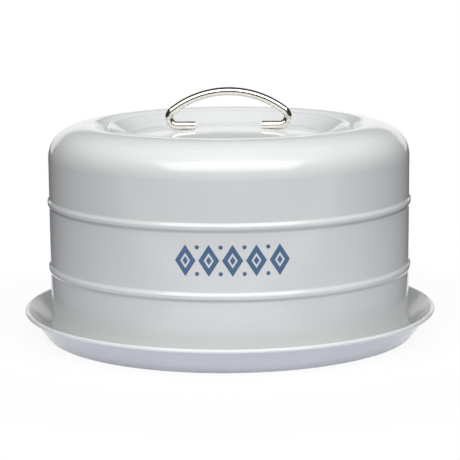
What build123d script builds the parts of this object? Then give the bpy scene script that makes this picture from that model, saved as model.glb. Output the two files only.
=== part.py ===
from build123d import *
import math
import os

# Domed cake tin: a drawn steel cover with a bent rod handle, standing in a flared steel tray.
# Millimetres. Origin at the centre of the tray's foot, +Z up, the front faces -Y.

# Steel sheet, the same for both pressings
sheet = 0.6

# Tray: a ring foot, a slightly raised centre, a flared wall and a rolled rim
tray_centre_lift = 1.5
tray_centre_radius = 104.0
tray_ring_inner_radius = 108.5
tray_ring_outer_radius = 125.7
tray_step_bend = 2.0
tray_floor_bend = 1.8
rim_outer_radius = 142.5
rim_top = 19.0
rim_curl_radius = 1.5
rim_curl_turn = 270.0

# Cover wall, with two beads swaged outwards
wall_radius = 124.4
bead_heights = (48.8, 93.7)
bead_proud = 1.15
bead_foot_half = 3.2
bead_crown_half = 1.0
bead_foot_bend = 2.4
bead_crown_bend = 1.6

# Cover shoulder and crest, as the corners of the outer face before each bend
shoulder_corner_height = 136.65
shoulder_bend = 20.0
crown_corner_radius = 104.7
crest_height = 146.5
crown_bend = 40.0
crest_inner_radius = 92.2
crest_inner_bend = 6.0

# Ring pressed into the top, between the crest and the centre panel
valley_radius = 86.6
valley_height = 139.8
valley_bend = 2.0
ring_radius = 82.6
ring_height = 146.6
ring_bend = 2.6
panel_edge_radius = 69.0
panel_edge_bend = 4.0

# Shallow domed centre panel
panel_top = 142.5
panel_curve = 465.0
panel_arc_radius = 65.0

# Folded edge at the cover's foot
hem_height = 6.0
hem_corner = 0.35

# Handle: one round rod, bowed over the top, its two feet turned inwards
rod_radius = 2.8
handle_foot_height = 144.3
handle_foot_end = 23.0
handle_top = 170.6
handle_bow_radius = 62.7
handle_flank_angle = 36.0
handle_end_bend = 5.7

# Screws and washers that hold the feet from inside
screw_place = 29.5
screw_radius = 1.45
screw_reach = 4.0
tapped_radius = 1.5
tapped_depth = 4.6
screw_head_radius = 2.8
screw_head_height = 2.0
screw_head_round = 0.9
recess_length = 3.2
recess_width = 0.8
recess_depth = 1.0
washer_radius = 4.5
washer_bore = 1.7
washer_thickness = 0.8


def revolved(section):
    """A section drawn with radius along X and height along Y, turned about the tin's axis."""
    return revolve(Plane.XZ * section, axis=Axis.Z, revolution_arc=360)


def panel_height(radius):
    """Height of the domed panel's outer face at a distance from the axis."""
    return panel_top - panel_curve + math.sqrt(panel_curve**2 - radius**2)


def tray_section():
    """The sheet's upper face as one path from the axis to the end of the curl, thickened downwards."""
    curl_x = rim_outer_radius - rim_curl_radius
    curl_y = rim_top - rim_curl_radius
    reach_x = curl_x - tray_ring_outer_radius
    reach_y = curl_y - sheet
    for _ in range(8):
        length = math.hypot(reach_x, reach_y)
        angle = math.atan2(reach_y, reach_x) + math.asin(rim_curl_radius / length)
        corner_x = tray_ring_outer_radius + tray_floor_bend * math.tan(angle / 2)
        reach_x = curl_x - corner_x
    wall_end = (curl_x - rim_curl_radius * math.sin(angle), curl_y + rim_curl_radius * math.cos(angle))
    corners = [
        (0, sheet + tray_centre_lift),
        (tray_centre_radius, sheet + tray_centre_lift),
        (tray_ring_inner_radius, sheet),
        (corner_x, sheet),
        wall_end,
    ]
    floor_and_wall = FilletPolyline(*corners, radius=[tray_step_bend, tray_step_bend, tray_floor_bend])
    curl_start = math.degrees(angle) + 90
    curl = CenterArc((curl_x, curl_y), rim_curl_radius, curl_start, -rim_curl_turn)
    path = Wire(floor_and_wall.edges() + curl.edges())
    return Face(path.offset_2d(sheet, side=Side.RIGHT, closed=True))


def bead_corners(height):
    """Corners of one outward bead, from its foot to its head."""
    crown = wall_radius + bead_proud
    return [
        (wall_radius, height - bead_foot_half),
        (crown, height - bead_crown_half),
        (crown, height + bead_crown_half),
        (wall_radius, height + bead_foot_half),
    ]


def cover_section():
    """The cover's outer face as one path from its foot to the axis, thickened inwards, with its hem."""
    corners = [(wall_radius, sheet)]
    bends = []
    for height in bead_heights:
        corners += bead_corners(height)
        bends += [bead_foot_bend, bead_crown_bend, bead_crown_bend, bead_foot_bend]
    corners += [
        (wall_radius, shoulder_corner_height),
        (crown_corner_radius, crest_height),
        (crest_inner_radius, crest_height),
        (valley_radius, valley_height),
        (ring_radius, ring_height),
    ]
    bends += [shoulder_bend, crown_bend, crest_inner_bend, valley_bend, ring_bend]
    arc_half_angle = math.asin(panel_arc_radius / panel_curve)
    arc_start = (panel_arc_radius, panel_height(panel_arc_radius))
    edge_fall = (panel_edge_radius - panel_arc_radius) * math.tan(arc_half_angle)
    corners += [(panel_edge_radius, arc_start[1] - edge_fall), arc_start]
    bends.append(panel_edge_bend)
    wall_and_ring = FilletPolyline(*corners, radius=bends)
    arc_degrees = math.degrees(arc_half_angle)
    panel = CenterArc((0, panel_top - panel_curve), panel_curve, 90 - arc_degrees, arc_degrees)
    path = Wire(wall_and_ring.edges() + panel.edges())
    skin = Face(path.offset_2d(sheet, side=Side.LEFT, closed=True))
    hem = Pos(wall_radius - sheet, sheet + hem_height / 2) * Rectangle(2 * sheet, hem_height)
    section = Sketch() + skin + hem
    foot = section.vertices().group_by(Axis.Y)[0]
    return fillet(foot, hem_corner)


def screw_plane(side):
    """A plane on the panel's outer face at one foot, facing out along the panel's normal."""
    lean = math.asin(screw_place / panel_curve)
    origin = (side * screw_place, 0, panel_height(screw_place))
    return Plane(origin=origin, x_dir=(0, 1, 0), z_dir=(side * math.sin(lean), 0, math.cos(lean)))


def upright_cylinder(radius, bottom, top):
    """A cylinder about the local Z axis between two heights."""
    return Pos(0, 0, bottom) * Cylinder(radius, top - bottom, align=(Align.CENTER, Align.CENTER, Align.MIN))


def tray():
    return revolved(tray_section())


def lid_shell():
    shell = revolved(cover_section())
    for side in (-1, 1):
        shell -= screw_plane(side) * upright_cylinder(washer_bore, -4 * sheet, 4 * sheet)
    return shell


def handle():
    """Rod swept along the bow, coped to the domed panel, with a tapped hole in each foot."""
    flank = math.radians(handle_flank_angle)
    bow_centre_height = handle_top - rod_radius - handle_bow_radius
    peak_height = bow_centre_height + handle_bow_radius / math.cos(flank)
    end_corner = (peak_height - handle_foot_height) / math.tan(flank)
    corners = [
        (-handle_foot_end, handle_foot_height),
        (-end_corner, handle_foot_height),
        (0, peak_height),
        (end_corner, handle_foot_height),
        (handle_foot_end, handle_foot_height),
    ]
    flat_path = FilletPolyline(*corners, radius=[handle_end_bend, handle_bow_radius, handle_end_bend])
    path = Plane.XZ * Wire(flat_path.edges())
    start = Plane(origin=path @ 0, z_dir=path % 0)
    rod = sweep(start * Circle(rod_radius), path=path)
    rod -= Pos(0, 0, panel_top - panel_curve) * Sphere(panel_curve)
    for side in (-1, 1):
        rod -= screw_plane(side) * upright_cylinder(tapped_radius, -1, tapped_depth)
    return rod


def washer_top():
    """Local height of a flat washer whose edge bears on the dome's concave inner face."""
    inner_curve = panel_curve - sheet
    return math.sqrt(inner_curve**2 - washer_radius**2) - panel_curve


def handle_washer(side):
    top = washer_top()
    bottom = top - washer_thickness
    disc = upright_cylinder(washer_radius, bottom, top) - upright_cylinder(washer_bore, bottom - 1, top + 1)
    return screw_plane(side) * disc


def handle_screw(side):
    """Pan-head screw with a cross recess, pointing up into the foot."""
    seat = washer_top() - washer_thickness
    head_end = seat - screw_head_height
    head = upright_cylinder(screw_head_radius, head_end, seat)
    head = fillet(head.edges().filter_by(GeomType.CIRCLE).sort_by(Axis.Z)[0], screw_head_round)
    for turn in (0, 90):
        slot = Box(recess_length, recess_width, 2 * recess_depth)
        head -= Pos(0, 0, head_end) * Rot(0, 0, turn) * slot
    screw = head + upright_cylinder(screw_radius, seat, screw_reach)
    return screw_plane(side) * screw


os.makedirs("parts", exist_ok=True)
export_step(tray(), "parts/tray.step")
export_step(lid_shell(), "parts/lid_shell.step")
export_step(handle(), "parts/handle.step")
for side, name in ((-1, "left"), (1, "right")):
    export_step(handle_screw(side), f"parts/handle_screw_{name}.step")
    export_step(handle_washer(side), f"parts/handle_washer_{name}.step")
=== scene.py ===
"""Looks of a domed cake tin: an enamelled steel cover with a bright bow handle, on a flared steel tray.

The pieces from the frame keep their shapes and get their finishes here. A printed border is added to the
cover's front. Everything is in metres, in the frame's own axes: +Z up, the front faces -Y.
"""
import logging
import math
from dataclasses import dataclass, field
from enum import Enum
from typing import Any, Optional, Union

import bpy
import numpy as np
from mathutils import Matrix, Vector


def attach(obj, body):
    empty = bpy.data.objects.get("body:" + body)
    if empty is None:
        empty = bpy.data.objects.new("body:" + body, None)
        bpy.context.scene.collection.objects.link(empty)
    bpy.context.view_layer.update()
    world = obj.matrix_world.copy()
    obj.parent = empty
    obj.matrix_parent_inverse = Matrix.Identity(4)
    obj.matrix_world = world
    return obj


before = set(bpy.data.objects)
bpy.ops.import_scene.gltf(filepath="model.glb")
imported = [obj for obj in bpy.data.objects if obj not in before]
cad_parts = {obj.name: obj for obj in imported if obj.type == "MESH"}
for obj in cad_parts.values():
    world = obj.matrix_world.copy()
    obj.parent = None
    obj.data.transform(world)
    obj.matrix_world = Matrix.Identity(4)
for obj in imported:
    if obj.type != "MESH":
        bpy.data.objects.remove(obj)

MM = 0.001
LOG = logging.getLogger("cake_tin")
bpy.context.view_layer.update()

Colour = tuple[float, float, float]
Point = tuple[float, float, float]
Range = tuple[float, float]
Value = Union["Signal", float]
WHITE = (1.0, 1.0, 1.0, 1.0)
NOISE_MIDDLE = 0.5
WALL_RADIUS = 124.4 * MM
HEM_RADIUS = WALL_RADIUS - 0.6 * MM
SCREW_PLACE = 29.5 * MM


@dataclass(frozen=True)
class Blotches:
    """One soft noise of a finish.

    Attributes:
        size: The width of one blotch, in metres.
        detail: How many finer layers are added.
        rough: How strong the finer layers are.
    """

    size: float
    detail: float = 2.0
    rough: float = 0.5


class Side(Enum):
    """A side of the tin as its front shows it, with the sign of its X."""

    LEFT = -1
    RIGHT = 1


class Operation(Enum):
    """The sums that a Math node does here."""

    ADD = "ADD"
    SUBTRACT = "SUBTRACT"
    MULTIPLY = "MULTIPLY"
    DIVIDE = "DIVIDE"
    POWER = "POWER"
    ABSOLUTE = "ABSOLUTE"
    SINE = "SINE"
    MAXIMUM = "MAXIMUM"


class Signal:
    """One output socket of a node. On a number, arithmetic adds Math nodes."""

    def __init__(self, tree: "ShaderTree", socket: bpy.types.NodeSocket) -> None:
        """Wrap a socket.

        Args:
            tree: The node tree that the socket belongs to.
            socket: An output socket, which carries a number, a point, a colour or a shader.
        """
        self.tree = tree
        self.socket = socket

    def _math(self, operation: Operation, first: Value, second: Value = 0.0) -> "Signal":
        """Add one Math node.

        Args:
            operation: What the node does.
            first: Its first value.
            second: Its second value.

        Returns:
            The node's result.
        """
        settings = {"operation": operation.value}
        return self.tree.add("ShaderNodeMath", settings, {0: first, 1: second}).out("Value")

    def __add__(self, other: Value) -> "Signal":
        """Sum."""
        return self._math(Operation.ADD, self, other)

    def __radd__(self, other: Value) -> "Signal":
        """Sum with a plain number first."""
        return self._math(Operation.ADD, other, self)

    def __sub__(self, other: Value) -> "Signal":
        """Difference."""
        return self._math(Operation.SUBTRACT, self, other)

    def __rsub__(self, other: Value) -> "Signal":
        """Difference from a plain number."""
        return self._math(Operation.SUBTRACT, other, self)

    def __mul__(self, other: Value) -> "Signal":
        """Product."""
        return self._math(Operation.MULTIPLY, self, other)

    def __rmul__(self, other: Value) -> "Signal":
        """Product with a plain number first."""
        return self._math(Operation.MULTIPLY, other, self)

    def __truediv__(self, other: Value) -> "Signal":
        """Quotient."""
        return self._math(Operation.DIVIDE, self, other)

    def __pow__(self, other: Value) -> "Signal":
        """Power."""
        return self._math(Operation.POWER, self, other)

    def magnitude(self) -> "Signal":
        """The value without its sign."""
        return self._math(Operation.ABSOLUTE, self)

    def wave(self, length: float) -> "Signal":
        """A sine wave of the value, from 0 to 1, with a given length."""
        return self._math(Operation.SINE, self * (2 * math.pi / length)) * 0.5 + 0.5

    def about(self, amount: float) -> "Signal":
        """How far a noise is from its middle, times an amount."""
        return (self - NOISE_MIDDLE) * amount

    def mixed(self, other: "Signal", share: float) -> "Signal":
        """The value with a share of it taken by another."""
        return self * (1 - share) + other * share

    def band(self, centre: float, half_width: float) -> "Signal":
        """A hump that is 1 at a centre and 0 past a distance from it.

        Args:
            centre: Where the hump is highest.
            half_width: How far from the centre it falls to 0.

        Returns:
            The hump, between 0 and 1.
        """
        fall = (self - centre).magnitude() / half_width
        return self._math(Operation.MAXIMUM, 1.0 - fall, 0.0)

    def ramp(self, low: float, high: float) -> "Signal":
        """A straight rise from 0 at one value to 1 at another, held at both ends.

        Args:
            low: Where the rise starts.
            high: Where it ends.

        Returns:
            The rise, between 0 and 1.
        """
        settings = {"data_type": "FLOAT", "clamp": True}
        inputs = {"Value": self, "From Min": low, "From Max": high}
        return self.tree.add("ShaderNodeMapRange", settings, inputs).out("Result")


class Node:
    """A node that was just added, which hands out its sockets."""

    def __init__(self, tree: "ShaderTree", node: bpy.types.Node) -> None:
        """Wrap a node.

        Args:
            tree: The tree that it belongs to.
            node: The node.
        """
        self.tree = tree
        self.node = node

    def out(self, key: Union[int, str]) -> Signal:
        """A wrapped output socket, by its name or number."""
        return Signal(self.tree, self.node.outputs[key])


class ShaderTree:
    """A material's or a world's node tree, with one method that makes any node."""

    def __init__(self, owner: Union[bpy.types.Material, bpy.types.World]) -> None:
        """Clear the owner's tree.

        Args:
            owner: The material or world.
        """
        owner.use_nodes = True
        self.tree = owner.node_tree
        self.tree.nodes.clear()

    def add(self, kind: str, settings: Optional[dict[str, Any]] = None,
            inputs: Optional[dict[Union[int, str], Any]] = None) -> Node:
        """Make one node, set it up, then fill or link its sockets.

        Args:
            kind: The node's type.
            settings: Its own settings, such as a Math node's operation.
            inputs: Values or links for its input sockets, by name or number.

        Returns:
            The node, wrapped.
        """
        node = self.tree.nodes.new(kind)
        for name, value in (settings or {}).items():
            setattr(node, name, value)
        for key, value in (inputs or {}).items():
            socket = node.inputs[key]
            if isinstance(value, Signal):
                self.tree.links.new(value.socket, socket)
            else:
                socket.default_value = value
        return Node(self, node)

    def place(self) -> Signal:
        """The point on the piece, in metres."""
        return self.add("ShaderNodeTexCoord").out("Object")

    def axes(self, point: Signal) -> tuple[Signal, Signal, Signal]:
        """A point's three numbers.

        Args:
            point: The point.

        Returns:
            Its X, Y and Z.
        """
        parts = self.add("ShaderNodeSeparateXYZ", {}, {"Vector": point})
        return parts.out("X"), parts.out("Y"), parts.out("Z")

    def point(self, x: Value, y: Value, z: Value) -> Signal:
        """A point from three numbers.

        Args:
            x: First number.
            y: Second number.
            z: Third number.

        Returns:
            The point.
        """
        return self.add("ShaderNodeCombineXYZ", {}, {"X": x, "Y": y, "Z": z}).out("Vector")

    def noise(self, point: Signal, blotches: Blotches) -> Signal:
        """Soft noise about its middle.

        Args:
            point: Where to read it.
            blotches: Its size and its layers.

        Returns:
            The noise, from 0 to 1.
        """
        inputs = {"Vector": point, "Scale": 1.0 / blotches.size, "Detail": blotches.detail,
                  "Roughness": blotches.rough}
        return self.add("ShaderNodeTexNoise", {"noise_dimensions": "3D"}, inputs).out("Fac")

    def tint(self, share: Value, first: Colour, second: Colour) -> Signal:
        """A colour between two colours.

        Args:
            share: 0 for the first colour, 1 for the second.
            first: The first colour.
            second: The second colour.

        Returns:
            The mixed colour.
        """
        settings = {"data_type": "RGBA", "blend_type": "MIX", "clamp_factor": True}
        inputs = {0: share, 6: (*first, 1.0), 7: (*second, 1.0)}
        return self.add("ShaderNodeMix", settings, inputs).out(2)

    def glow(self, strength: float) -> Signal:
        """A white shader of an even brightness."""
        return self.add("ShaderNodeEmission", {}, {"Color": WHITE, "Strength": strength}).out("Emission")

    def sky(self, strength: float) -> Signal:
        """A white background of an even brightness."""
        return self.add("ShaderNodeBackground", {}, {"Color": WHITE, "Strength": strength}).out("Background")

    def matt(self, colour: Colour) -> Signal:
        """A shader of one colour without any gloss."""
        return self.add("ShaderNodeBsdfDiffuse", {}, {"Color": (*colour, 1.0)}).out("BSDF")

    def seen_plainly(self) -> Signal:
        """1 for a ray from the camera, or one that comes off gloss or through glass, and 0 for soft light."""
        path = self.add("ShaderNodeLightPath")
        return path.out("Is Camera Ray") + path.out("Is Glossy Ray") + path.out("Is Transmission Ray")

    def blend(self, share: Value, first: Signal, second: Signal) -> Signal:
        """A shader between two shaders.

        Args:
            share: 0 for the first shader, 1 for the second.
            first: The first shader.
            second: The second shader.

        Returns:
            The mixed shader.
        """
        return self.add("ShaderNodeMixShader", {}, {0: share, 1: first, 2: second}).out("Shader")

    def bump(self, height: Signal, depth: float) -> Signal:
        """A bumped normal.

        Args:
            height: The relief, from 0 to 1.
            depth: The height of a full step, in metres.

        Returns:
            The normal.
        """
        inputs = {"Height": height, "Distance": depth, "Strength": 1.0}
        return self.add("ShaderNodeBump", {}, inputs).out("Normal")

    def surface(self, **inputs: Any) -> None:
        """End the tree in a Principled surface.

        Args:
            inputs: The surface's sockets, with spaces in their names as underscores.
        """
        named = {name.replace("_", " "): value for name, value in inputs.items()}
        shader = self.add("ShaderNodeBsdfPrincipled", {}, named)
        self.add("ShaderNodeOutputMaterial", {}, {"Surface": shader.out("BSDF")})


def flat_length(first: Signal, second: Signal) -> Signal:
    """The length of a flat arrow from its two numbers: the root of the sum of their squares."""
    return (first * first + second * second) ** 0.5


@dataclass(frozen=True)
class Scuff:
    """Fine arcs rubbed about the upright axis, only near one radius and below one height.

    Attributes:
        ceiling: The height that the full scuff reaches.
        fade: How far over that it ends.
        radius: Where it is strongest.
        half_width: How far from that radius it ends.
        streaks: The noise of the arcs.
        streak_squeeze: How many times closer the arcs lie than blotches of that noise.
        streak_range: The values of that noise where an arc starts and is full.
        patches: The noise that leaves some stretches of the arcs clean.
        patch_range: The values of that noise where a stretch starts and is full.
    """

    ceiling: float
    fade: float = 0.4 * MM
    radius: float = HEM_RADIUS
    half_width: float = 1.6 * MM
    streaks: Blotches = Blotches(8 * MM)
    streak_squeeze: float = 40.0
    streak_range: Range = (0.45, 0.7)
    patches: Blotches = Blotches(25 * MM)
    patch_range: Range = (0.4, 0.6)

    def mask(self, tree: ShaderTree, point: Signal) -> Signal:
        """Work out where the paint is scuffed.

        The streaks are a noise of the distance from the axis and of the height alone, so they run round it.

        Args:
            tree: The paint's node tree.
            point: The point on the piece.

        Returns:
            The scuff, from 0 to 1.
        """
        x, y, z = tree.axes(point)
        radius = flat_length(x, y)
        streak_point = tree.point(radius * self.streak_squeeze, 0.0, z)
        streaks = tree.noise(streak_point, self.streaks).ramp(*self.streak_range)
        patches = tree.noise(point, self.patches).ramp(*self.patch_range)
        low = 1.0 - z.ramp(self.ceiling, self.ceiling + self.fade)
        return radius.band(self.radius, self.half_width) * low * streaks * patches


@dataclass(frozen=True)
class EnamelPaint:
    """Gloss paint on sheet steel: even colour, a faint orange peel, and scuffs where steel rubs on steel."""

    name: str
    colour: Colour
    shade: Colour
    scuff: Scuff
    roughness: float = 0.13
    cloud: Blotches = Blotches(60 * MM, 3.0)
    cloud_gloss: float = 0.05
    speck: Blotches = Blotches(0.55 * MM, 1.0)
    speck_gloss: float = 0.03
    speck_share: float = 0.25
    tone_range: Range = (0.35, 0.65)
    peel: Blotches = Blotches(2.6 * MM, 1.5, 0.4)
    peel_depth: float = 0.0022 * MM
    scuff_gloss: float = 0.25
    scuff_tone: float = 0.8

    def make(self) -> bpy.types.Material:
        """Make the material.

        The colour and the gloss wander in clouds with fine specks, and the relief is the orange peel. A scuff
        is duller, and nearer to the shade.

        Returns:
            The material.
        """
        material = bpy.data.materials.new(self.name)
        tree = ShaderTree(material)
        point = tree.place()
        cloud = tree.noise(point, self.cloud)
        speck = tree.noise(point, self.speck)
        peel = tree.noise(point, self.peel)
        scuff = self.scuff.mask(tree, point)
        gloss = self.roughness + cloud.about(self.cloud_gloss) + speck.about(self.speck_gloss)
        tone = cloud.mixed(speck, self.speck_share).ramp(*self.tone_range)
        scuffed_tone = (tone + scuff * self.scuff_tone).ramp(0.0, 1.0)
        tree.surface(
            Base_Color=tree.tint(scuffed_tone, self.colour, self.shade),
            Roughness=gloss + scuff * self.scuff_gloss,
            Normal=tree.bump(peel, self.peel_depth),
        )
        return material


@dataclass(frozen=True)
class BrightPlate:
    """Polished nickel plate on a steel rod: warm white metal with hair-fine polishing marks."""

    name: str
    colour: Colour
    tarnish: Colour
    roughness: float = 0.03
    marks: Blotches = Blotches(0.35 * MM, 2.0, 0.6)
    mark_stretch: float = 0.04
    mark_depth: float = 0.00006 * MM
    mark_gloss: float = 0.04
    cloud: Blotches = Blotches(9 * MM, 3.0)
    cloud_range: Range = (0.4, 0.7)
    cloud_gloss: float = 0.02

    def make(self) -> bpy.types.Material:
        """Make the material.

        The polishing marks are a fine noise drawn out along X, the way the rod was buffed.

        Returns:
            The material.
        """
        material = bpy.data.materials.new(self.name)
        tree = ShaderTree(material)
        point = tree.place()
        x, y, z = tree.axes(point)
        marks = tree.noise(tree.point(x * self.mark_stretch, y, z), self.marks)
        cloud = tree.noise(point, self.cloud)
        tree.surface(
            Base_Color=tree.tint(cloud.ramp(*self.cloud_range), self.colour, self.tarnish),
            Metallic=1.0,
            Roughness=self.roughness + marks.about(self.mark_gloss) + cloud * self.cloud_gloss,
            Normal=tree.bump(marks, self.mark_depth),
        )
        return material


@dataclass(frozen=True)
class ZincPlate:
    """Zinc-plated steel hardware: pale grey metal with fine turning rings and a dull cloud."""

    name: str
    colour: Colour
    dull: Colour
    roughness: float = 0.32
    centre: float = SCREW_PLACE
    ring_pitch: float = 0.25 * MM
    ring_share: float = 0.6
    relief_depth: float = 0.004 * MM
    cloud: Blotches = Blotches(1.4 * MM, 3.0)
    cloud_range: Range = (0.35, 0.65)
    cloud_gloss: float = 0.2

    def make(self) -> bpy.types.Material:
        """Make the material.

        The rings are a wave of the distance from the screw's own axis, which stands at plus and minus one X.

        Returns:
            The material.
        """
        material = bpy.data.materials.new(self.name)
        tree = ShaderTree(material)
        point = tree.place()
        x, y, _ = tree.axes(point)
        rings = flat_length(x.magnitude() - self.centre, y).wave(self.ring_pitch)
        cloud = tree.noise(point, self.cloud)
        tree.surface(
            Base_Color=tree.tint(cloud.ramp(*self.cloud_range), self.colour, self.dull),
            Metallic=1.0,
            Roughness=self.roughness + cloud.about(self.cloud_gloss),
            Normal=tree.bump(cloud.mixed(rings, self.ring_share), self.relief_depth),
        )
        return material


@dataclass(frozen=True)
class PrintInk:
    """Blue screen print on the enamel: slightly uneven, a little duller than the paint round it."""

    name: str
    colour: Colour
    thin: Colour
    roughness: float = 0.22
    grain: Blotches = Blotches(0.45 * MM)
    grain_share: float = 0.5
    grain_gloss: float = 0.08
    grain_depth: float = 0.002 * MM
    cloud: Blotches = Blotches(12 * MM)
    thin_range: Range = (0.42, 0.68)

    def make(self) -> bpy.types.Material:
        """Make the material.

        Thin spots come from a fine grain and a wide cloud together, as a screen leaves them.

        Returns:
            The material.
        """
        material = bpy.data.materials.new(self.name)
        tree = ShaderTree(material)
        point = tree.place()
        grain = tree.noise(point, self.grain)
        cloud = tree.noise(point, self.cloud)
        thin = cloud.mixed(grain, self.grain_share).ramp(*self.thin_range)
        tree.surface(
            Base_Color=tree.tint(thin, self.colour, self.thin),
            Roughness=self.roughness + grain.about(self.grain_gloss),
            Normal=tree.bump(grain, self.grain_depth),
        )
        return material


@dataclass(frozen=True)
class Finishes:
    """Every finish on the tin."""

    cover_paint: EnamelPaint = EnamelPaint(
        "cover_paint", (0.608, 0.620, 0.622), (0.593, 0.606, 0.609), Scuff(ceiling=1.4 * MM))
    tray_paint: EnamelPaint = EnamelPaint(
        "tray_paint", (0.625, 0.629, 0.626), (0.610, 0.614, 0.612), Scuff(ceiling=0.9 * MM))
    handle_plate: BrightPlate = BrightPlate("handle_plate", (0.90, 0.87, 0.80), (0.84, 0.80, 0.71))
    screw_plate: ZincPlate = ZincPlate("screw_plate", (0.66, 0.67, 0.68), (0.52, 0.53, 0.54))
    border_ink: PrintInk = PrintInk("border_ink", (0.058, 0.112, 0.212), (0.085, 0.150, 0.262))


def add_object(name: str, data: bpy.types.ID) -> bpy.types.Object:
    """Make an object and link it to the scene.

    Args:
        name: Its name.
        data: Its mesh, lamp or camera.

    Returns:
        The object.
    """
    made = bpy.data.objects.new(name, data)
    bpy.context.scene.collection.objects.link(made)
    return made


def dress(piece: bpy.types.Object, material: bpy.types.Material) -> None:
    """Put one material on every part of a piece.

    Args:
        piece: The mesh object.
        material: Its finish.
    """
    piece.data.materials.clear()
    piece.data.materials.append(material)


@dataclass
class Patch:
    """Points on the flat print, in rows and columns, before it is wrapped round the wall.

    Attributes:
        points: An array of rows, columns and two lengths: along the wall and up it, in metres.
        ringed: Whether the last row joins the first.
    """

    points: np.ndarray
    ringed: bool = False


def lozenge_patch(centre: tuple[float, float], width: float, height: float, steps: int) -> Patch:
    """A solid lozenge: the unit square's rows and columns, turned an eighth and stretched.

    Args:
        centre: Its middle, along the wall and up it.
        width: Its full width.
        height: Its full height.
        steps: How many squares it has each way.

    Returns:
        The patch.
    """
    u, v = np.meshgrid(np.linspace(0, 1, steps + 1), np.linspace(0, 1, steps + 1), indexing="ij")
    along = centre[0] + (u + v - 1) * width / 2
    up = centre[1] + (v - u) * height / 2
    return Patch(np.stack([along, up], axis=-1))


def lozenge_frame(centre: tuple[float, float], width: float, height: float, stroke: float,
                  steps: int, stroke_points: int) -> Patch:
    """A lozenge's outline with an even stroke.

    Going round, a point is at the share t of each side in turn. The inner edge is the same lozenge shrunk so
    that each side moves in by the stroke.

    Args:
        centre: Its middle.
        width: Its full width.
        height: Its full height.
        stroke: The line's thickness, square to its sides.
        steps: How many pieces each side has.
        stroke_points: How many points lie across the line.

    Returns:
        The patch, which joins itself.
    """
    corners = np.array([(0.5, 0), (0, 0.5), (-0.5, 0), (0, -0.5)]) * (width, height)
    share = np.arange(4 * steps) / steps
    side = share.astype(int)
    part = (share - side)[:, None]
    outer = corners[side] * (1 - part) + corners[(side + 1) % 4] * part
    inset = 2 * stroke * math.hypot(width, height) / (width * height)
    scale = np.linspace(1 - inset, 1, stroke_points)
    points = outer[:, None, :] * scale[None, :, None] + np.array(centre)
    return Patch(points, ringed=True)


def dot_patch(centre: tuple[float, float], radius: float, steps: int) -> Patch:
    """A round dot: a square grid pressed out to a disc, so that it has no pole.

    A grid point's u is multiplied by the root of 1 less half of v squared, and its v likewise with u.

    Args:
        centre: Its middle.
        radius: Its radius.
        steps: How many squares it has each way.

    Returns:
        The patch.
    """
    u, v = np.meshgrid(np.linspace(-1, 1, steps + 1), np.linspace(-1, 1, steps + 1), indexing="ij")
    along = centre[0] + radius * u * np.sqrt(1 - v**2 / 2)
    up = centre[1] + radius * v * np.sqrt(1 - u**2 / 2)
    return Patch(np.stack([along, up], axis=-1))


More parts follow.
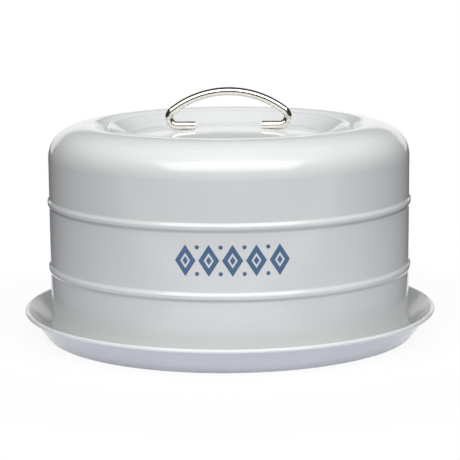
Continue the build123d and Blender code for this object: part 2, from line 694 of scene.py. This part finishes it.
@dataclass
class PrintedBorder:
    """A plain traditional row of lozenges and dots, printed on the cover's front between its beads."""

    wall_radius: float = WALL_RADIUS
    proud: float = 0.03 * MM
    sunk: float = 0.03 * MM
    centre_along: float = 1.9 * MM
    centre_height: float = 72.8 * MM
    pitch: float = 15.2 * MM
    lozenges: int = 5
    lozenge_width: float = 13.4 * MM
    lozenge_height: float = 20.6 * MM
    stroke: float = 2.9 * MM
    core_width: float = 3.6 * MM
    core_height: float = 5.6 * MM
    dot_radius: float = 1.35 * MM
    dot_rise: float = 8.6 * MM
    side_steps: int = 12
    stroke_points: int = 4
    core_steps: int = 4
    dot_steps: int = 8

    def patches(self) -> list[Patch]:
        """The flat figures of the border.

        Returns:
            One patch for each figure.
        """
        made = []
        middles = (np.arange(self.lozenges) - (self.lozenges - 1) / 2) * self.pitch + self.centre_along
        for middle in middles:
            centre = (float(middle), self.centre_height)
            made.append(lozenge_frame(centre, self.lozenge_width, self.lozenge_height, self.stroke,
                                      self.side_steps, self.stroke_points))
            made.append(lozenge_patch(centre, self.core_width, self.core_height, self.core_steps))
        for middle in (middles[:-1] + middles[1:]) / 2:
            for rise in (-self.dot_rise, self.dot_rise):
                centre = (float(middle), self.centre_height + rise)
                made.append(dot_patch(centre, self.dot_radius, self.dot_steps))
        return made

    def wrap(self, flat: np.ndarray, lift: float) -> np.ndarray:
        """Wrap flat points round the wall: a length along it becomes an angle about the upright axis.

        Args:
            flat: Points along and up the wall.
            lift: How far they stand off it.

        Returns:
            The points in space.
        """
        angle = flat[..., 0] / self.wall_radius
        radius = self.wall_radius + lift
        return np.stack([radius * np.sin(angle), -radius * np.cos(angle), flat[..., 1]], axis=-1)

    def slab(self, patch: Patch, first: int) -> tuple[np.ndarray, np.ndarray]:
        """A thin closed slab over a patch: a front, a back and the edge between them.

        The edge stands on every side of a square that no other square shares the other way round.

        Args:
            patch: The flat figure.
            first: The number of its first vertex in the whole mesh.

        Returns:
            Its points and its four-sided faces.
        """
        rows, columns = patch.points.shape[:2]
        size = rows * columns
        front = self.wrap(patch.points, self.proud).reshape(-1, 3)
        back = self.wrap(patch.points, -self.sunk).reshape(-1, 3)
        number = np.arange(size).reshape(rows, columns)
        ahead = np.roll(number, -1, axis=0) if patch.ringed else number[1:]
        here = number if patch.ringed else number[:-1]
        quads = np.stack([here[:, :-1], ahead[:, :-1], ahead[:, 1:], here[:, 1:]], axis=-1).reshape(-1, 4)
        behind = quads[:, ::-1] + size
        edges = np.concatenate([quads[:, [a, b]] for a, b in ((0, 1), (1, 2), (2, 3), (3, 0))])
        start, end = edges[~np.isin(edges[:, 0] * size + edges[:, 1], edges[:, 1] * size + edges[:, 0])].T
        walls = np.stack([end, start, start + size, end + size], axis=-1)
        return np.concatenate([front, back]), np.concatenate([quads, behind, walls]) + first

    def build(self) -> bpy.types.Object:
        """Make the border's mesh.

        Returns:
            The object, on the cover's wall.
        """
        points, faces, first = [], [], 0
        for patch in self.patches():
            some_points, some_faces = self.slab(patch, first)
            points.append(some_points)
            faces.append(some_faces)
            first += len(some_points)
        mesh = bpy.data.meshes.new("printed_border")
        mesh.from_pydata(np.concatenate(points).tolist(), [], np.concatenate(faces).tolist())
        mesh.validate()
        return add_object("printed_border", mesh)


@dataclass
class Cover:
    """The drawn steel cover with its handle, screws and washers, and the border on its front."""

    body: str = "lid"
    shell: str = "lid_shell"
    handle: str = "handle"
    fixings: tuple[str, ...] = (
        "handle_screw_left", "handle_screw_right", "handle_washer_left", "handle_washer_right")
    border: PrintedBorder = field(default_factory=PrintedBorder)

    def build(self, finishes: Finishes) -> list[str]:
        """Dress the cover's pieces and add its border.

        Args:
            finishes: The tin's finishes.

        Returns:
            The names of its pieces.
        """
        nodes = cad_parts
        dress(nodes[self.shell], finishes.cover_paint.make())
        dress(nodes[self.handle], finishes.handle_plate.make())
        plate = finishes.screw_plate.make()
        for name in self.fixings:
            dress(nodes[name], plate)
        print_piece = self.border.build()
        dress(print_piece, finishes.border_ink.make())
        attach(print_piece, self.body)
        return [self.shell, self.handle, *self.fixings, print_piece.name]


@dataclass
class Tray:
    """The flared tray with its rolled rim."""

    pan: str = "tray"

    def build(self, finishes: Finishes) -> list[str]:
        """Dress the tray.

        Args:
            finishes: The tin's finishes.

        Returns:
            The names of its pieces.
        """
        dress(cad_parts[self.pan], finishes.tray_paint.make())
        return [self.pan]


@dataclass
class Softbox:
    """One large soft lamp, aimed at a point.

    Attributes:
        name: Its name.
        place: Where it hangs, in metres.
        aim: The point that it faces.
        width: Its size along the level.
        height: Its size square to that.
        power: Its power, in watts.
        shows_in_gloss: Whether bright metal and gloss paint mirror it.
    """

    name: str
    place: Point
    aim: Point
    width: float
    height: float
    power: float
    shows_in_gloss: bool = True

    def build(self) -> None:
        """Make the lamp."""
        lamp = bpy.data.lights.new(self.name, "AREA")
        lamp.shape = "RECTANGLE"
        lamp.size = self.width
        lamp.size_y = self.height
        lamp.energy = self.power
        holder = add_object(self.name, lamp)
        holder.location = self.place
        away = Vector(self.place) - Vector(self.aim)
        holder.rotation_euler = away.to_track_quat("Z", "Y").to_euler()
        holder.visible_glossy = self.shows_in_gloss


@dataclass
class DarkCard:
    """One flat black card outside the picture, which bright metal and gloss paint mirror as a dark edge.

    Attributes:
        name: Its name.
        corners: Its four corners, in turn.
    """

    name: str
    corners: list[Point]

    def build(self, material: bpy.types.Material) -> None:
        """Make the card.

        Args:
            material: Its black.
        """
        mesh = bpy.data.meshes.new(self.name)
        mesh.from_pydata(self.corners, [], [(0, 1, 2, 3)])
        card = add_object(self.name, mesh)
        card.visible_camera = False
        card.visible_diffuse = False
        card.visible_shadow = False
        dress(card, material)


@dataclass
class CardRing:
    """The black cards on every side of the tin, and the mats on the floor round the picture.

    Lengths go out from the tin's axis, heights go up from the floor.

    Attributes:
        black: How bright a card looks, whatever light falls on it.
        reach: How far out the widest cards and the mats go.
        mat_height: How high the mats lie, just clear of the floor.
        side_mat_front: Where the two side mats start.
        side_mat_gaps: How far out their inner edge is, at its front and at its rear end.
        front_mat_gap: Where the front mat ends.
        front_place: Where the front card stands.
        front_height: Its height.
        side_place: Where the two side cards stand.
        side_front: How far forward they go.
        side_height: Their height.
        rear_place: Where the rear card stands.
        rear_heights: Its lower and its upper edge. The top card lies at the upper one.
        top_front: How far forward the top card goes.
    """

    black: float = 0.04
    reach: float = 3.0
    mat_height: float = 2 * MM
    side_mat_front: float = 0.35
    side_mat_gaps: Range = (0.125, 0.515)
    front_mat_gap: float = 0.50
    front_place: float = 1.7
    front_height: float = 0.85
    side_place: float = 1.7
    side_front: float = 1.9
    side_height: float = 1.7
    rear_place: float = 2.5
    rear_heights: Range = (0.70, 3.2)
    top_front: float = 0.8

    def side_mat(self, side: Side) -> DarkCard:
        """The mat at one side, whose inner edge slants as the picture's edge does.

        Args:
            side: Which side.

        Returns:
            The mat.
        """
        front_gap, rear_gap = self.side_mat_gaps
        corners = [(front_gap, -self.side_mat_front), (self.reach, -self.side_mat_front),
                   (self.reach, self.reach), (rear_gap, self.reach)]
        placed = [(side.value * x, y, self.mat_height) for x, y in corners]
        return DarkCard(f"{side.name.lower()}_mat", placed)

    def side_card(self, side: Side) -> DarkCard:
        """The card at one side.

        Args:
            side: Which side.

        Returns:
            The card.
        """
        corners = [(-self.side_front, 0.0), (self.reach, 0.0), (self.reach, self.side_height),
                   (-self.side_front, self.side_height)]
        place = side.value * self.side_place
        return DarkCard(f"{side.name.lower()}_card", [(place, y, z) for y, z in corners])

    def across(self, name: str, first: tuple[float, float], last: tuple[float, float]) -> DarkCard:
        """A card from far left to far right.

        Args:
            name: Its name.
            first: The Y and Z of one long edge.
            last: The Y and Z of the other.

        Returns:
            The card.
        """
        left, right = -self.reach, self.reach
        return DarkCard(name, [(left, *first), (left, *last), (right, *last), (right, *first)])

    def build(self) -> None:
        """Make every card and mat, all of one black."""
        rear_bottom, rear_top = self.rear_heights
        cards = [
            *(self.side_mat(side) for side in Side),
            self.across("front_mat", (-self.reach, self.mat_height), (-self.front_mat_gap, self.mat_height)),
            self.across("front_card", (-self.front_place, 0.0), (-self.front_place, self.front_height)),
            *(self.side_card(side) for side in Side),
            self.across("rear_card", (self.rear_place, rear_bottom), (self.rear_place, rear_top)),
            self.across("top_card", (self.rear_place, rear_top), (-self.top_front, rear_top)),
        ]
        material = self.material()
        for card in cards:
            card.build(material)

    def material(self) -> bpy.types.Material:
        """Make the cards' material: a faint even grey.

        Returns:
            The material.
        """
        material = bpy.data.materials.new("card_black")
        tree = ShaderTree(material)
        tree.add("ShaderNodeOutputMaterial", {}, {"Surface": tree.glow(self.black)})
        return material


@dataclass
class Floor:
    """A plain pale sheet that looks white and holds the tin's shadow.

    Attributes:
        radius: How far it goes out.
        gap: How far it lies below the tray's foot, so that the two never share a plane.
        rings: How many rings it has.
        steps: How many parts each ring has.
        near_paper: The paper's colour near the tin.
        far_paper: The paper's colour far from it.
        paper_range: The distances from the axis between which one turns into the other.
        near_glow: The glow's share near the tin.
        glow_range: The distances from the axis between which that share grows to the whole.
    """

    radius: float = 6.0
    gap: float = 0.1 * MM
    rings: int = 24
    steps: int = 96
    near_paper: Colour = (0.72, 0.75, 0.86)
    far_paper: Colour = (0.12, 0.12, 0.12)
    paper_range: Range = (0.18, 0.27)
    near_glow: float = 0.92
    glow_range: Range = (0.16, 0.28)

    def build(self) -> None:
        """Make the floor: a flat disc of rings that lie closer together towards its middle.

        A ring's radius is the disc's radius times the square of the ring's share of the rings. A fan of
        triangles closes the middle.
        """
        radius = self.radius * np.linspace(0, 1, self.rings + 1)[1:] ** 2
        angle = np.arange(self.steps) * (2 * math.pi / self.steps)
        height = np.full((self.rings, self.steps), -self.gap)
        points = np.stack([np.outer(radius, np.cos(angle)), np.outer(radius, np.sin(angle)), height], axis=-1)
        number = np.arange(height.size).reshape(height.shape)
        after = np.roll(number, -1, axis=1)
        quads = np.stack([number[:-1], number[1:], after[1:], after[:-1]], axis=-1).reshape(-1, 4)
        fan = np.stack([np.full(self.steps, number.size), number[0], after[0]], axis=-1)
        middle = (0.0, 0.0, -self.gap)
        mesh = bpy.data.meshes.new("floor")
        mesh.from_pydata([*points.reshape(-1, 3).tolist(), middle], [], quads.tolist() + fan.tolist())
        floor = add_object("floor", mesh)
        dress(floor, self.material())

    def material(self) -> bpy.types.Material:
        """Make the floor's material: matt paper under a white glow, which is full further from the tin.

        Soft light meets the paper alone, which is pale near the tin and dark further off.

        Returns:
            The material.
        """
        material = bpy.data.materials.new("floor_paper")
        tree = ShaderTree(material)
        x, y, _ = tree.axes(tree.place())
        radius = flat_length(x, y)
        near, far = tree.matt(self.near_paper), tree.matt(self.far_paper)
        paper = tree.blend(radius.ramp(*self.paper_range), near, far)
        glow_share = self.near_glow + radius.ramp(*self.glow_range) * (1.0 - self.near_glow)
        body = tree.blend(tree.seen_plainly() * glow_share, paper, tree.glow(1.0))
        tree.add("ShaderNodeOutputMaterial", {}, {"Surface": body})
        return material


@dataclass
class Room:
    """What lies round the set: white to the camera, gloss and glass, and a soft grey to everything else."""

    ambient: float = 0.03

    def build(self) -> None:
        """Make the world."""
        world = bpy.data.worlds.new("studio")
        bpy.context.scene.world = world
        tree = ShaderTree(world)
        sky = tree.blend(tree.seen_plainly(), tree.sky(self.ambient), tree.sky(1.0))
        tree.add("ShaderNodeOutputWorld", {}, {"Surface": sky})


@dataclass
class PhotoCamera:
    """The camera, where the photograph was taken from."""

    distance: float = 1.35331
    height: float = 0.30768
    pitch: float = 0.1732
    roll: float = -0.0083
    yaw: float = 0.0003
    focal_pixels: float = 1974.43
    picture_pixels: float = 460.0
    sensor: float = 36.0

    def build(self) -> None:
        """Make the camera, turned about its line of sight by its roll.

        The line of sight points along yaw and falls by pitch. Level and upward lie square to it.
        """
        flat_share = math.cos(self.pitch)
        forward = Vector((math.sin(self.yaw) * flat_share, math.cos(self.yaw) * flat_share,
                          -math.sin(self.pitch)))
        level = Vector((math.cos(self.yaw), -math.sin(self.yaw), 0.0))
        upward = level.cross(forward)
        right = level * math.cos(self.roll) + upward * math.sin(self.roll)
        up = upward * math.cos(self.roll) - level * math.sin(self.roll)
        data = bpy.data.cameras.new("photo_camera")
        data.sensor_width = self.sensor
        data.lens = self.focal_pixels / self.picture_pixels * self.sensor
        camera = add_object("photo_camera", data)
        turn = Matrix((right, up, -forward)).transposed().to_4x4()
        camera.matrix_world = Matrix.Translation((0.0, -self.distance, self.height)) @ turn
        bpy.context.scene.camera = camera


@dataclass
class Studio:
    """The plain pale set: camera, room, floor, lamps and black cards."""

    camera: PhotoCamera = field(default_factory=PhotoCamera)
    room: Room = field(default_factory=Room)
    floor: Floor = field(default_factory=Floor)
    lamps: tuple[Softbox, ...] = (
        Softbox("key_softbox", (0.05, -1.30, 1.42), (0.0, 0.0, 0.08), 2.8, 1.0, 32.0),
        Softbox("front_softbox", (0.05, -1.85, 0.72), (0.0, 0.0, 0.08), 2.6, 0.7, 8.0),
        Softbox("overhead_softbox", (0.0, -0.35, 1.45), (0.0, 0.0, 0.1), 2.6, 1.0, 10.0, False),
        Softbox("left_softbox", (-1.05, -0.80, 1.40), (0.0, 0.0, 0.1), 0.8, 0.8, 5.5, False),
        Softbox("right_softbox", (1.05, -0.80, 1.40), (0.0, 0.0, 0.1), 0.8, 0.8, 7.5, False),
        Softbox("rear_fill", (0.0, 1.9, 0.9), (0.0, 0.0, 0.08), 0.7, 1.2, 14.0, False),
    )
    cards: CardRing = field(default_factory=CardRing)

    def build(self) -> None:
        """Make the whole set."""
        bpy.context.scene.view_settings.view_transform = "Standard"
        self.camera.build()
        self.room.build()
        self.floor.build()
        for lamp in self.lamps:
            lamp.build()
        self.cards.build()


def main() -> None:
    """Build the set, the tray and the cover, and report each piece."""
    logging.basicConfig(level=logging.INFO, format="%(name)s: %(message)s")
    Studio().build()
    finishes = Finishes()
    for part in (Tray(), Cover()):
        for name in part.build(finishes):
            LOG.info("%s: %s", type(part).__name__.lower(), name)
    bpy.context.view_layer.update()


if __name__ == "__main__":
    main()
